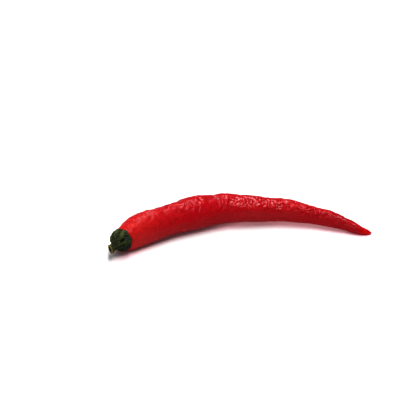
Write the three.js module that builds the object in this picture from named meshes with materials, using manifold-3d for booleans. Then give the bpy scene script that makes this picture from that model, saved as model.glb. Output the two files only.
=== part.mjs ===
// Long red chilli pepper, as picked and lying on its side. Units are millimetres, +Z is up, and z = 0 is
// the surface that it lies on. The broad end, with its green calyx and the stub of its stem, points
// to -X, and the tip points to +X. The origin is under the middle of its bounding box.

import * as THREE from 'three';
import { mergeVertices } from 'three/addons/utils/BufferGeometryUtils.js';
import Module from 'manifold-3d';

const wasm = await Module();
wasm.setup();

// The pod's centre line and girth, from the stem end to the tip.
// x and y are the place of the centre line in plan, radius is the pod's there, and gap is the space
// between its underside and the surface. A gap below zero is where the pod bears on the surface.
const podStations = [
  { x: -58.1, y: -15.4, gap: 1.1, radius: 5.7 },
  { x: -50.0, y: -6.4, gap: -0.3, radius: 7.1 },
  { x: -42.0, y: -1.7, gap: 0.0, radius: 7.5 },
  { x: -33.6, y: 2.7, gap: 0.3, radius: 7.2 },
  { x: -18.6, y: 9.3, gap: -0.3, radius: 7.9 },
  { x: -3.8, y: 12.4, gap: 0.4, radius: 7.1 },
  { x: 10.4, y: 10.6, gap: 0.9, radius: 6.35 },
  { x: 24.8, y: 8.5, gap: 1.2, radius: 5.3 },
  { x: 38.2, y: 3.7, gap: 1.1, radius: 4.2 },
  { x: 51.2, y: -4.1, gap: 0.5, radius: 3.0 },
  { x: 58.6, y: -9.0, gap: -0.2, radius: 1.75 },
  { x: 62.7, y: -9.9, gap: 0.1, radius: 0.65 },
];
const shoulderDepth = 10;
const shoulderPower = 2;
const tipDepth = 2.6;

// Low swellings and dents of the pod. Each lies at a distance along the pod and at an angle around it,
// where 0 is the outer side of the bow, 90 the top, 180 the inner side and 270 the underside.
const podSwellings = [
  { along: 8, around: 42, height: -0.85, length: 4.5, spread: 55 },
  { along: 15, around: 60, height: 0.3, length: 7, spread: 50 },
  { along: 27, around: 110, height: -0.35, length: 7, spread: 60 },
  { along: 44, around: 200, height: 0.3, length: 10, spread: 45 },
  { along: 55.5, around: 85, height: -0.5, length: 4, spread: 50 },
  { along: 63, around: 75, height: 0.2, length: 5, spread: 40 },
  { along: 69, around: 85, height: -0.35, length: 5, spread: 55 },
  { along: 84, around: 190, height: -0.3, length: 8, spread: 50 },
  { along: 84, around: 78, height: -0.6, length: 4, spread: 50 },
  { along: 91, around: 65, height: 0.4, length: 5, spread: 45 },
  { along: 106, around: 100, height: -0.2, length: 4, spread: 60 },
  { along: 113, around: 70, height: 0.25, length: 4, spread: 50 },
];

// Three soft lobes run down the pod and twist slowly, as its chambers do.
const lobeCount = 3;
const lobeHeight = 0.16;
const lobeTwistPerLength = 0.02;

// The skin's puckers are short creases across the pod, in rows that interlock.
const puckerHeight = 0.26;
const puckerPitch = 4.2;
const puckersStart = 14;
const puckersFull = 36;
const puckersEnd = 8;

// Calyx: a leathery cap on the pod's shoulder, with a corner for each sepal.
// Each corner has its angle around the pod and its distance from the pod's axis.
const sepals = [
  { around: 12, span: 4.7 },
  { around: 62, span: 4.8 },
  { around: 116, span: 5.0 },
  { around: 168, span: 4.9 },
  { around: 211, span: 4.7 },
  { around: 256, span: 4.5 },
  { around: 312, span: 4.5 },
];
const edgeRoundness = 0.5;
const sepalTip = 0.18;
const sepalTipSpread = 7;
const calyxRimThickness = 0.75;
const calyxCrownThickness = 1.7;
const sepalRibHeight = 0.55;
const sepalRibSpread = 9;
const calyxCrumple = 0.16;
const seat = 0.3;

// Stem: a short stub that leaves the calyx along the pod's axis and droops to a broken end.
const stemReach = new THREE.Vector3(-3.4, -2.1, -1.9);
const stemEndHeading = new THREE.Vector3(-0.93, -0.35, -0.1).normalize();
const stemPull = 1.6;
const stemBaseRadius = 2.5;
const stemWaistRadius = 1.8;
const stemEndRadius = 2.05;
const stemRibs = 5;
const stemRibHeight = 0.14;
const pithRadius = 1.15;
const pithDepth = 0.8;
const stemHoleRadius = stemBaseRadius + seat;

// How finely the surfaces are divided
const podRings = 118;
const podSides = 34;
const calyxSides = 70;
const calyxRows = 9;
const stemRings = 9;
const stemSides = 25;

const up = new THREE.Vector3(0, 0, 1);
const degree = Math.PI / 180;

// Distance of each station from the first, measured straight from one to the next in plan
const stationDistances = [0];
for (let i = 1; i < podStations.length; i += 1) {
  const step = Math.hypot(podStations[i].x - podStations[i - 1].x, podStations[i].y - podStations[i - 1].y);
  stationDistances.push(stationDistances[i - 1] + step);
}
const podLength = stationDistances[stationDistances.length - 1];

// Slope of one station value at a station, weighted by its neighbours' distances
function slopeAt(name, i) {
  const last = podStations.length - 1;
  const run = (a) => stationDistances[a + 1] - stationDistances[a];
  const rise = (a) => (podStations[a + 1][name] - podStations[a][name]) / run(a);
  if (i === 0) return rise(0);
  if (i === last) return rise(last - 1);
  return (rise(i - 1) * run(i) + rise(i) * run(i - 1)) / (run(i) + run(i - 1));
}

// A smooth curve through one value of every station, read at a distance along the pod
function stationValue(name, distance) {
  let i = 0;
  while (i < podStations.length - 2 && distance > stationDistances[i + 1]) i += 1;
  const run = stationDistances[i + 1] - stationDistances[i];
  const u = (distance - stationDistances[i]) / run;
  const startWeight = 2 * u ** 3 - 3 * u ** 2 + 1;
  const startSlopeWeight = u ** 3 - 2 * u ** 2 + u;
  const endSlopeWeight = u ** 3 - u ** 2;
  return startWeight * podStations[i][name] + (1 - startWeight) * podStations[i + 1][name]
    + run * (startSlopeWeight * slopeAt(name, i) + endSlopeWeight * slopeAt(name, i + 1));
}

function podCentre(distance) {
  const height = stationValue('radius', distance) + stationValue('gap', distance);
  return new THREE.Vector3(stationValue('x', distance), stationValue('y', distance), height);
}

// The pod's axis at a distance: its direction towards the tip, and the two directions across it
function podAxes(distance) {
  const step = 0.05;
  const ahead = podCentre(Math.min(distance + step, podLength));
  const behind = podCentre(Math.max(distance - step, 0));
  const forward = ahead.sub(behind).normalize();
  const outer = new THREE.Vector3().crossVectors(up, forward).normalize();
  const top = new THREE.Vector3().crossVectors(forward, outer);
  return { forward, outer, top };
}

// Shares of the full radius that are left where the shoulder and the tip round off
function shoulderShare(distance) {
  const left = 1 - Math.min(distance / shoulderDepth, 1);
  return (1 - left ** shoulderPower) ** (1 / shoulderPower);
}

function tipShare(distance) {
  const left = 1 - Math.min((podLength - distance) / tipDepth, 1);
  return Math.sqrt(1 - left ** 2);
}

function smoothStep(low, high, value) {
  return THREE.MathUtils.smoothstep(value, low, high);
}

// Shortest turn between two angles, in degrees
function turnBetween(a, b) {
  return Math.abs(((a - b + 540) % 360) - 180);
}

function bell(offset, width) {
  return Math.exp(-((offset / width) ** 2));
}

function swellings(distance, around) {
  let height = 0;
  for (const swelling of podSwellings) {
    const along = bell(distance - swelling.along, swelling.length);
    height += swelling.height * along * bell(turnBetween(around, swelling.around), swelling.spread);
  }
  return height;
}

function lobes(distance, around) {
  return lobeHeight * Math.cos(lobeCount * (around * degree + lobeTwistPerLength * distance));
}

function puckers(distance, around) {
  const angle = around * degree;
  const grown = smoothStep(puckersStart, puckersFull, distance) * smoothStep(0, puckersEnd, podLength - distance);
  const wander = 1.5 * Math.sin(2 * angle + distance / 9) + 0.8 * Math.sin(3 * angle - distance / 5);
  const crease = Math.cos((2 * Math.PI * distance) / puckerPitch + wander);
  const patch = 0.55 + 0.45 * Math.sin(4 * angle + distance / 2.3 + 1.4 * Math.sin(distance / 6));
  return puckerHeight * grown * crease * patch;
}

// A point on the pod's skin
function podSkin(distance, around) {
  const girth = stationValue('radius', distance);
  const share = shoulderShare(distance) * tipShare(distance);
  const relief = swellings(distance, around) + lobes(distance, around) + puckers(distance, around);
  const radius = share * (girth + relief * Math.min(1, girth / 4));
  const { outer, top } = podAxes(distance);
  const angle = around * degree;
  return podCentre(distance)
    .addScaledVector(outer, radius * Math.cos(angle))
    .addScaledVector(top, radius * Math.sin(angle));
}

// The direction that faces out of the pod's skin at a point
function podOutward(distance, around) {
  const step = 0.05;
  const alongSkin = podSkin(distance + step, around).sub(podSkin(Math.max(distance - step, 0), around));
  const aroundSkin = podSkin(distance, around + 1).sub(podSkin(distance, around - 1));
  return alongSkin.cross(aroundSkin).normalize().negate();
}

// A closed mesh from rows of points, each row running once around.
// The first and last rows are closed by a point each, or are joined to each other.
function closedSurface(rows, firstPoint, lastPoint) {
  const sides = rows[0].length;
  const points = rows.flat();
  const triangles = [];
  const joined = firstPoint === undefined;
  const bands = joined ? rows.length : rows.length - 1;
  for (let band = 0; band < bands; band += 1) {
    const near = band * sides;
    const far = ((band + 1) % rows.length) * sides;
    for (let side = 0; side < sides; side += 1) {
      const next = (side + 1) % sides;
      triangles.push(near + side, near + next, far + side, near + next, far + next, far + side);
    }
  }
  if (!joined) {
    const lastRow = (rows.length - 1) * sides;
    const first = points.push(firstPoint) - 1;
    const last = points.push(lastPoint) - 1;
    for (let side = 0; side < sides; side += 1) {
      const next = (side + 1) % sides;
      triangles.push(first, next, side, last, lastRow + side, lastRow + next);
    }
  }
  const geometry = new THREE.BufferGeometry().setFromPoints(points);
  geometry.setIndex(triangles);
  return geometry;
}

function toSolid(geometry) {
  const bare = geometry.clone();
  bare.deleteAttribute('normal');
  bare.deleteAttribute('uv');
  const merged = mergeVertices(bare);
  return new wasm.Manifold(new wasm.Mesh({
    numProp: 3,
    vertProperties: new Float32Array(merged.attributes.position.array),
    triVerts: new Uint32Array(merged.index.array),
  }));
}

function toGeometry(solid) {
  const { vertProperties, triVerts } = solid.getMesh();
  const geometry = new THREE.BufferGeometry();
  geometry.setAttribute('position', new THREE.BufferAttribute(new Float32Array(vertProperties), 3));
  geometry.setIndex(new THREE.BufferAttribute(new Uint32Array(triVerts), 1));
  return geometry;
}

// The rings crowd together towards both ends, where the pod rounds off.
function podGeometry() {
  const rows = [];
  for (let ring = 1; ring < podRings; ring += 1) {
    const share = ring / podRings;
    const crowded = share - (0.75 * Math.sin(2 * Math.PI * share)) / (2 * Math.PI);
    const row = [];
    for (let side = 0; side < podSides; side += 1) {
      row.push(podSkin(podLength * crowded, (360 * side) / podSides));
    }
    rows.push(row);
  }
  return closedSurface(rows, podCentre(0), podCentre(podLength));
}

// Cuts away what lies below the surface, which leaves the three flats that the pod rests on.
function restedOnSurface(geometry) {
  const below = new THREE.BoxGeometry(200, 120, 20);
  below.translate(0, 0, -10);
  return toGeometry(toSolid(geometry).subtract(toSolid(below)));
}

// Distance of the calyx's edge from the pod's axis: between a straight and a round run from corner to
// corner, with a small tip on each corner
function calyxSpan(around) {
  const count = sepals.length;
  for (let i = 0; i < count; i += 1) {
    const from = sepals[i];
    const to = sepals[(i + 1) % count];
    const width = (to.around - from.around + 360) % 360;
    const turn = (around - from.around + 360) % 360;
    if (turn <= width) {
      const chord = (from.span * to.span * Math.sin(width * degree))
        / (from.span * Math.sin(turn * degree) + to.span * Math.sin((width - turn) * degree));
      const arc = THREE.MathUtils.lerp(from.span, to.span, turn / width);
      const nearest = Math.min(turn, width - turn);
      return THREE.MathUtils.lerp(chord, arc, edgeRoundness) + sepalTip * bell(nearest, sepalTipSpread);
    }
  }
  return sepals[0].span;
}

// Distance along the pod at which its shoulder has grown to a span
function shoulderDistance(span) {
  let distance = 0;
  for (let pass = 0; pass < 8; pass += 1) {
    const share = Math.min(span / stationValue('radius', distance), 0.995);
    distance = shoulderDepth * (1 - (1 - share ** shoulderPower) ** (1 / shoulderPower));
  }
  return distance;
}

// Thickness of the calyx: thick at the crown, thin at the edge, with a rib to each sepal's tip
function calyxThickness(outward, around) {
  let rib = 0;
  for (const sepal of sepals) {
    rib += bell(turnBetween(around, sepal.around), sepalRibSpread);
  }
  const ribHeight = sepalRibHeight * Math.sin(Math.PI * Math.min(0.25 + 0.75 * outward, 1)) * (rib - 0.4);
  const angle = around * degree;
  const crumple = calyxCrumple * Math.sin(9 * angle + 5 * outward) * Math.cos(4 * angle - 9 * outward);
  const body = THREE.MathUtils.lerp(calyxCrownThickness, calyxRimThickness, outward ** 0.7);
  return body + ribHeight + crumple * smoothStep(0, 0.3, outward);
}

// The calyx follows the pod's shoulder from the hole for the stem out to its edge, and back outside.
function calyxGeometry() {
  const inner = [];
  const outer = [];
  for (let row = 0; row <= calyxRows; row += 1) {
    const outward = row / calyxRows;
    const innerRow = [];
    const outerRow = [];
    for (let side = 0; side < calyxSides; side += 1) {
      const around = (360 * side) / calyxSides;
      const span = THREE.MathUtils.lerp(stemHoleRadius, calyxSpan(around), outward);
      const distance = shoulderDistance(span);
      const skin = podSkin(distance, around);
      const normal = podOutward(distance, around);
      innerRow.push(skin.clone().addScaledVector(normal, seat));
      outerRow.push(skin.clone().addScaledVector(normal, seat + calyxThickness(outward, around)));
    }
    inner.push(innerRow);
    outer.push(outerRow);
  }
  return closedSurface([...outer, ...inner.reverse()]);
}

function stemRadius(share, around) {
  const flare = THREE.MathUtils.lerp(stemBaseRadius, stemWaistRadius, smoothStep(0.25, 0.6, share));
  const knob = THREE.MathUtils.lerp(0, stemEndRadius - stemWaistRadius, smoothStep(0.6, 0.95, share));
  const rib = stemRibHeight * smoothStep(0.3, 0.6, share) * Math.cos(stemRibs * around * degree);
  return flare + knob + rib;
}

// Rings along the stub, turned little by little from the pod's axis to the heading of the broken end, so
// that none crosses the next, then back into the hollow of its pith
function stemGeometry() {
  const base = podCentre(0);
  const outward = podAxes(0).forward.negate();
  const start = base.clone().addScaledVector(outward, seat);
  const end = base.clone().add(stemReach);
  const leaving = start.clone().addScaledVector(outward, stemPull);
  const arriving = end.clone().addScaledVector(stemEndHeading, -stemPull);
  const path = new THREE.CubicBezierCurve3(start, leaving, arriving, end);
  const ringAt = (share, scale, sink) => {
    const centre = path.getPoint(share);
    const forward = outward.clone().lerp(stemEndHeading, share).normalize();
    const side = new THREE.Vector3().crossVectors(up, forward).normalize();
    const top = new THREE.Vector3().crossVectors(forward, side);
    centre.addScaledVector(forward, -sink);
    const ring = [];
    for (let i = 0; i < stemSides; i += 1) {
      const around = (360 * i) / stemSides;
      const radius = scale * stemRadius(share, around);
      ring.push(centre.clone()
        .addScaledVector(side, radius * Math.cos(around * degree))
        .addScaledVector(top, radius * Math.sin(around * degree)));
    }
    return ring;
  };
  const rows = [];
  for (let ring = 0; ring <= stemRings; ring += 1) {
    rows.push(ringAt(ring / stemRings, 1, 0));
  }
  const hollow = pithRadius / stemEndRadius;
  rows.push(ringAt(1, 0.5 + 0.5 * hollow, -0.08), ringAt(1, hollow, 0.1), ringAt(1, 0.6 * hollow, pithDepth));
  const bottom = end.clone().addScaledVector(stemEndHeading, -pithDepth);
  return closedSurface(rows, start, bottom);
}

function meshOf(name, geometry, color, roughness) {
  geometry.computeVertexNormals();
  const mesh = new THREE.Mesh(geometry, new THREE.MeshStandardMaterial({ color, roughness, metalness: 0 }));
  mesh.name = name;
  return mesh;
}

const chilli = new THREE.Group();
chilli.add(meshOf('pod', restedOnSurface(podGeometry()), 0xb80d16, 0.25));
chilli.add(meshOf('calyx', calyxGeometry(), 0x2c4a22, 0.6));
chilli.add(meshOf('stem', stemGeometry(), 0x4f5a26, 0.7));

export default chilli;
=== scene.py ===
"""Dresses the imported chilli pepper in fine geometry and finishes, with a plain studio and its camera.

The pod is swept by Geometry Nodes along the same centre line as its solid and carries the skin's puckers as
geometry. The calyx and the stem's stub are modelled meshes on its shoulder, and Geometry Nodes set the torn
fibres on the stub's broken end. The forms are in millimetres and degrees, and what Blender is given is in
metres and radians. A span is where a change starts and where it is complete, and a scale is in cells per
millimetre.
"""

from __future__ import annotations

import logging
import math
from dataclasses import dataclass, field
from enum import Enum
from typing import Any, Callable, Sequence

import bpy
import numpy as np
from mathutils import Matrix, Vector, noise


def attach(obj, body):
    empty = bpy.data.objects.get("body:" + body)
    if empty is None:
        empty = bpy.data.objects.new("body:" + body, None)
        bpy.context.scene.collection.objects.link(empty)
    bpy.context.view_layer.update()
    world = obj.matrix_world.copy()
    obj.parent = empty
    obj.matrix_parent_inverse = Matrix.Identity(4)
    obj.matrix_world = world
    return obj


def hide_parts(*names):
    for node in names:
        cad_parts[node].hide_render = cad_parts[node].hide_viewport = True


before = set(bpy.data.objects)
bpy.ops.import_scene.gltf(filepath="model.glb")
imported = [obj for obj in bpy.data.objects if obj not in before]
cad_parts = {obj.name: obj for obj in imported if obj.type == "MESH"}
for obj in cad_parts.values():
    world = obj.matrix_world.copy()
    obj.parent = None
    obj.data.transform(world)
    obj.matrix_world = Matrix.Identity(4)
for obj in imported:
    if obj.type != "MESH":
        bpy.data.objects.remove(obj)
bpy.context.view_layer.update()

log = logging.getLogger("chilli")

MM = 0.001
BODY = "root"
BAKE_MAP = "OFBake"
UP = (0.0, 0.0, 1.0)
FULL_TURN = 2.0 * math.pi

Span = tuple[float, float]
Triple = tuple[float, float, float]


class Slot(Enum):
    """The record's material slots."""

    SKIN = "skin"
    CALYX = "calyx"
    STEM = "stem"


class Value:
    """A number socket. Used in an expression, it adds the Math nodes that the expression needs."""

    def __init__(self, graph: "Graph", socket: bpy.types.NodeSocket) -> None:
        """Wraps a socket of a graph's tree."""
        self.graph = graph
        self.socket = socket

    def math(self, operation: str, *others: Any) -> "Value":
        """Adds a Math node.

        Args:
            operation: The node's operation.
            others: Its further operands, numbers or Values.

        Returns:
            The node's result.
        """
        inputs = dict(enumerate((self, *others)))
        return self.graph.value("ShaderNodeMath", {"operation": operation}, inputs)

    def reflected(self, operation: str, first: Any) -> "Value":
        """Adds a Math node whose first operand is a number and whose second is this value."""
        return self.graph.value("ShaderNodeMath", {"operation": operation}, {0: first, 1: self})

    def __add__(self, other: Any) -> "Value":
        """self + other."""
        return self.math("ADD", other)

    __radd__ = __add__

    def __mul__(self, other: Any) -> "Value":
        """self * other."""
        return self.math("MULTIPLY", other)

    __rmul__ = __mul__

    def __sub__(self, other: Any) -> "Value":
        """self - other."""
        return self.math("SUBTRACT", other)

    def __rsub__(self, other: Any) -> "Value":
        """other - self."""
        return self.reflected("SUBTRACT", other)

    def __truediv__(self, other: Any) -> "Value":
        """self / other."""
        return self.math("DIVIDE", other)

    def __rtruediv__(self, other: Any) -> "Value":
        """other / self."""
        return self.reflected("DIVIDE", other)

    def __neg__(self) -> "Value":
        """Minus self."""
        return self.math("MULTIPLY", -1.0)

    def sin(self) -> "Value":
        """Sine of an angle in radians."""
        return self.math("SINE")

    def cos(self) -> "Value":
        """Cosine of an angle in radians."""
        return self.math("COSINE")

    def sqrt(self) -> "Value":
        """Square root."""
        return self.math("SQRT")

    def exp(self) -> "Value":
        """e to the power of self."""
        return self.math("EXPONENT")

    def abs(self) -> "Value":
        """Size without sign."""
        return self.math("ABSOLUTE")

    def at_least(self, low: Any) -> "Value":
        """The larger of self and low."""
        return self.math("MAXIMUM", low)

    def at_most(self, high: Any) -> "Value":
        """The smaller of self and high."""
        return self.math("MINIMUM", high)

    def step(self, low: float, high: float) -> "Value":
        """Smooth step: 0 at low, 1 at high, eased between them. low may be the larger."""
        inputs = {"Value": self, "From Min": low, "From Max": high}
        return self.graph.value("ShaderNodeMapRange", {"interpolation_type": "SMOOTHSTEP"}, inputs)


class Graph:
    """Adds nodes to one tree, a material's or a Geometry Nodes group's."""

    def __init__(self, tree: bpy.types.NodeTree) -> None:
        """Takes the tree to fill."""
        self.tree = tree

    def find(self, sockets: Any, key: int | str) -> bpy.types.NodeSocket:
        """The socket at an index, or the enabled one of a name.

        Args:
            sockets: A node's inputs or outputs.
            key: The index or the name.

        Returns:
            The socket.
        """
        if isinstance(key, int):
            return sockets[key]
        return next(s for s in sockets if s.enabled and s.name == key)

    def feed(self, node: bpy.types.Node, inputs: dict) -> None:
        """Sets or links a node's sockets, by name or index, to plain values, sockets or Values.

        Args:
            node: The node.
            inputs: What each socket is given.
        """
        for key, given in inputs.items():
            socket = self.find(node.inputs, key)
            source = given.socket if isinstance(given, Value) else given
            if isinstance(source, bpy.types.NodeSocket):
                self.tree.links.new(source, socket)
            else:
                socket.default_value = source

    def node(self, kind: str, settings: dict | None = None, inputs: dict | None = None) -> bpy.types.Node:
        """Adds any node.

        Args:
            kind: The node's type.
            settings: Its properties, set first.
            inputs: Its sockets by name or index, each a plain value, a socket or a Value.

        Returns:
            The new node.
        """
        node = self.tree.nodes.new(kind)
        for name, setting in (settings or {}).items():
            setattr(node, name, setting)
        self.feed(node, inputs or {})
        return node

    def out(self, kind: str, settings: dict | None = None, inputs: dict | None = None,
            output: int | str = 0) -> bpy.types.NodeSocket:
        """Adds a node and returns one of its outputs."""
        return self.find(self.node(kind, settings, inputs).outputs, output)

    def value(self, kind: str, settings: dict | None = None, inputs: dict | None = None,
              output: int | str = 0) -> Value:
        """Adds a node and returns one of its outputs as a number to calculate with."""
        return Value(self, self.out(kind, settings, inputs, output))

    def vector(self, operation: str, *operands: Any) -> bpy.types.NodeSocket:
        """Adds a Vector Math node and returns its vector."""
        return self.out("ShaderNodeVectorMath", {"operation": operation}, dict(enumerate(operands)))

    def scaled(self, vector: Any, by: Any) -> bpy.types.NodeSocket:
        """A vector times a number."""
        return self.out("ShaderNodeVectorMath", {"operation": "SCALE"}, {0: vector, "Scale": by})

    def xyz(self, x: Any, y: Any, z: Any) -> bpy.types.NodeSocket:
        """A vector from three numbers."""
        return self.out("ShaderNodeCombineXYZ", None, {0: x, 1: y, 2: z})

    def split(self, vector: Any) -> list[Value]:
        """The three numbers of a vector."""
        node = self.node("ShaderNodeSeparateXYZ", None, {0: vector})
        return [Value(self, output) for output in node.outputs]

    def noise(self, vector: Any, scale: float | Triple, detail: float = 2.0, roughness: float = 0.5) -> Value:
        """Noise about zero, from -0.5 to 0.5.

        Args:
            vector: Where it is read.
            scale: Its cells per unit, or three numbers of cells, one for each direction.
            detail: How many finer layers it has.
            roughness: How strong they are.

        Returns:
            The noise.
        """
        if isinstance(scale, tuple):
            vector, scale = self.vector("MULTIPLY", vector, scale), 1.0
        inputs = {"Vector": vector, "Scale": scale, "Detail": detail, "Roughness": roughness}
        return self.value("ShaderNodeTexNoise", None, inputs, "Fac") - 0.5

    def mix(self, factor: Any, first: Any, second: Any) -> bpy.types.NodeSocket:
        """Mixes two colours."""
        return self.out("ShaderNodeMix", {"data_type": "RGBA"},
                        {"Factor": factor, "A": first, "B": second}, "Result")

    def mark(self, name: str) -> Value:
        """A number that the mesh keeps on its points, read in a material."""
        return self.value("ShaderNodeAttribute", {"attribute_name": name}, None, "Fac")

    def place(self) -> bpy.types.NodeSocket:
        """The Object coordinates in millimetres."""
        return self.scaled(self.out("ShaderNodeTexCoord", None, None, "Object"), 1.0 / MM)

    def bump(self, strength: float, depth: float, height: Value) -> bpy.types.NodeSocket:
        """A bumped normal: how strong, how deep in millimetres, and its heights."""
        return self.out("ShaderNodeBump", None,
                        {"Strength": strength, "Distance": depth * MM, "Height": height})

    def store(self, surface: Any, name: str, kind: str, domain: str, values: Any) -> bpy.types.NodeSocket:
        """Stores values on a surface under a name and returns the surface."""
        return self.out("GeometryNodeStoreNamedAttribute", {"data_type": kind, "domain": domain},
                        {"Geometry": surface, "Name": name, "Value": values})

    def finish_group(self, surface: Any, material: Any, result: str) -> bpy.types.NodeTree:
        """Ends a Geometry Nodes group and returns its tree.

        Args:
            surface: The geometry that it made.
            material: The socket of its material.
            result: The name of its output.

        Returns:
            The finished tree.
        """
        surface = self.out("GeometryNodeRealizeInstances", None, {"Geometry": surface})
        surface = self.out("GeometryNodeSetMaterial", None, {"Geometry": surface, "Material": material})
        self.node("NodeGroupOutput", None, {result: surface})
        return self.tree


def new_material(name: str) -> tuple[bpy.types.Material, Graph, bpy.types.Node]:
    """A new material, the graph of its tree and its shader.

    Args:
        name: The material's name.

    Returns:
        The three.
    """
    made = bpy.data.materials.new(name)
    made.use_nodes = True
    return made, Graph(made.node_tree), made.node_tree.nodes["Principled BSDF"]


def new_group(name: str, start: str, inputs: dict[str, str], result: str) -> tuple[Graph, bpy.types.Node]:
    """A new Geometry Nodes group with its named sockets.

    Args:
        name: The group's name.
        start: The name of the geometry that it takes.
        inputs: The kinds of its other inputs, by name.
        result: The name of the geometry that it gives.

    Returns:
        The graph of its tree and the node that holds its inputs.
    """
    tree = bpy.data.node_groups.new(name, "GeometryNodeTree")
    tree.interface.new_socket(start, in_out="INPUT", socket_type="NodeSocketGeometry")
    for label, kind in inputs.items():
        tree.interface.new_socket(label, in_out="INPUT", socket_type=f"NodeSocket{kind}")
    tree.interface.new_socket(result, in_out="OUTPUT", socket_type="NodeSocketGeometry")
    graph = Graph(tree)
    return graph, graph.node("NodeGroupInput")


def rgba(colour: Sequence[float]) -> tuple[float, float, float, float]:
    """A colour with full alpha."""
    return (*colour, 1.0)


def bell(offset: Any, width: float) -> Any:
    """A soft bump of height 1 at offset 0, for numbers and arrays."""
    return np.exp(-((offset / width) ** 2))


def smooth_step(span: Span, value: Any) -> Any:
    """Smooth step for numbers and arrays: 0 where the span starts, 1 where it ends."""
    share = np.clip((value - span[0]) / (span[1] - span[0]), 0.0, 1.0)
    return share * share * (3.0 - 2.0 * share)


def turn_between(first: Any, second: float) -> Any:
    """The shorter turn between two angles, in degrees."""
    return np.abs((first - second + 540.0) % 360.0 - 180.0)


def unit(vectors: np.ndarray) -> np.ndarray:
    """Vectors scaled to length 1."""
    return vectors / np.linalg.norm(vectors, axis=-1, keepdims=True)


def bezier(pulls: Sequence[np.ndarray], u: np.ndarray) -> np.ndarray:
    """Points of a smooth curve from the first of four pulls to the last, at shares u of it."""
    weights = ((1 - u) ** 3, 3 * (1 - u) ** 2 * u, 3 * (1 - u) * u**2, u**3)
    return sum(weight * pull for weight, pull in zip(weights, pulls))


def add_object(name: str, data: Any) -> bpy.types.Object:
    """Links a new object with this data to the scene.

    Args:
        name: The object's name.
        data: Its mesh, curve, light or camera.

    Returns:
        The object.
    """
    made = bpy.data.objects.new(name, data)
    bpy.context.scene.collection.objects.link(made)
    return made


def mesh_from_rows(name: str, rows: np.ndarray, ends: tuple[np.ndarray, np.ndarray] | None,
                   marks: dict[str, np.ndarray]) -> bpy.types.Mesh:
    """A closed mesh from rows of points that each run once around.

    Args:
        name: The mesh's name.
        rows: Points, as rows by sides by 3.
        ends: The points that close the first and last row, or None to join those rows to each other.
        marks: Numbers to keep on the points, each as rows by sides.

    Returns:
        The mesh, with smooth faces that point outwards and an unwrapped map for baking.
    """
    count, sides = rows.shape[:2]
    bands = count - 1 if ends else count
    points = rows.reshape(-1, 3)
    faces: list[tuple[int, ...]] = []
    corners: list[Span] = []
    lift = 1.0 / (bands + 2)
    for band in range(bands):
        near = band * sides
        far = ((band + 1) % count) * sides
        for side in range(sides):
            after = (side + 1) % sides
            faces.append((near + side, near + after, far + after, far + side))
            left, right = side / sides, (side + 1) / sides
            low, high = (band + 1) * lift, (band + 2) * lift
            corners += [(left, low), (right, low), (right, high), (left, high)]
    if ends:
        points = np.vstack([points, *ends])
        first, last = count * sides, count * sides + 1
        top = (count - 1) * sides
        for side in range(sides):
            after = (side + 1) % sides
            left, right = side / sides, (side + 1) / sides
            middle = (left + right) / 2
            faces.append((after, side, first))
            corners += [(right, lift), (left, lift), (middle, 0.0)]
            faces.append((top + side, top + after, last))
            corners += [(left, 1.0 - lift), (right, 1.0 - lift), (middle, 1.0)]
    mesh = bpy.data.meshes.new(name)
    mesh.from_pydata([tuple(point) for point in points], [], faces)
    mesh.update()
    if signed_volume(mesh) < 0:
        mesh.flip_normals()
        corners = reversed_per_face(corners, faces)
    mesh.uv_layers.new(name=BAKE_MAP).data.foreach_set("uv", np.array(corners, np.float32).ravel())
    for label, numbers in marks.items():
        column = np.zeros(len(mesh.vertices), np.float32)
        column[: numbers.size] = numbers.ravel()
        if ends:
            column[-2:] = numbers[0].mean(), numbers[-1].mean()
        mesh.attributes.new(label, "FLOAT", "POINT").data.foreach_set("value", column)
    mesh.shade_smooth()
    return mesh


def signed_volume(mesh: bpy.types.Mesh) -> float:
    """Volume inside a closed mesh: negative if its faces point inwards.

    Args:
        mesh: The mesh.

    Returns:
        The volume, in the mesh's own unit cubed.
    """
    mesh.calc_loop_triangles()
    corners = np.zeros(len(mesh.loop_triangles) * 3, np.int64)
    mesh.loop_triangles.foreach_get("vertices", corners)
    points = np.zeros(len(mesh.vertices) * 3, np.float32)
    mesh.vertices.foreach_get("co", points)
    a, b, c = points.reshape(-1, 3)[corners.reshape(-1, 3)].transpose(1, 0, 2)
    return float(np.einsum("ij,ij->i", a, np.cross(b, c)).sum() / 6.0)


def reversed_per_face(corners: list[Span], faces: list[tuple[int, ...]]) -> list[Span]:
    """Corner values in the order that flipped faces have: each face keeps its first corner.

    Args:
        corners: One value for each corner of each face.
        faces: The faces before they were flipped.

    Returns:
        The values in their new order.
    """
    flipped: list[Span] = []
    start = 0
    for face in faces:
        own = corners[start: start + len(face)]
        flipped += [own[0], *reversed(own[1:])]
        start += len(face)
    return flipped


def grown_by_nodes(name: str, start: bpy.types.Object, group: bpy.types.NodeTree,
                   inputs: dict[str, Any]) -> bpy.types.Object:
    """Runs a Geometry Nodes group on an object and keeps the result as a plain mesh.

    Args:
        name: The new piece's name.
        start: The object that the group starts from, which is removed.
        group: The group.
        inputs: The group's named inputs.

    Returns:
        The new piece.
    """
    modifier = start.modifiers.new(name, "NODES")
    modifier.node_group = group
    for item in group.interface.items_tree:
        if item.in_out == "INPUT" and item.name in inputs:
            modifier[item.identifier] = inputs[item.name]
    evaluated = start.evaluated_get(bpy.context.evaluated_depsgraph_get())
    mesh = bpy.data.meshes.new_from_object(evaluated)
    mesh.name = name
    bpy.data.objects.remove(start)
    if signed_volume(mesh) < 0:
        mesh.flip_normals()
    return add_object(name, mesh)


def dressed(piece: bpy.types.Object, slot: Slot, *nodes: str) -> bpy.types.Object:
    """Puts a piece in the frame: on its body, with the solids that it stands for hidden.

    Args:
        piece: The piece.
        slot: Its material slot. Not used.
        nodes: The solids that it replaces.

    Returns:
        The piece.
    """
    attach(piece, BODY)
    if nodes:
        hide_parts(*nodes)
    return piece


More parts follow.
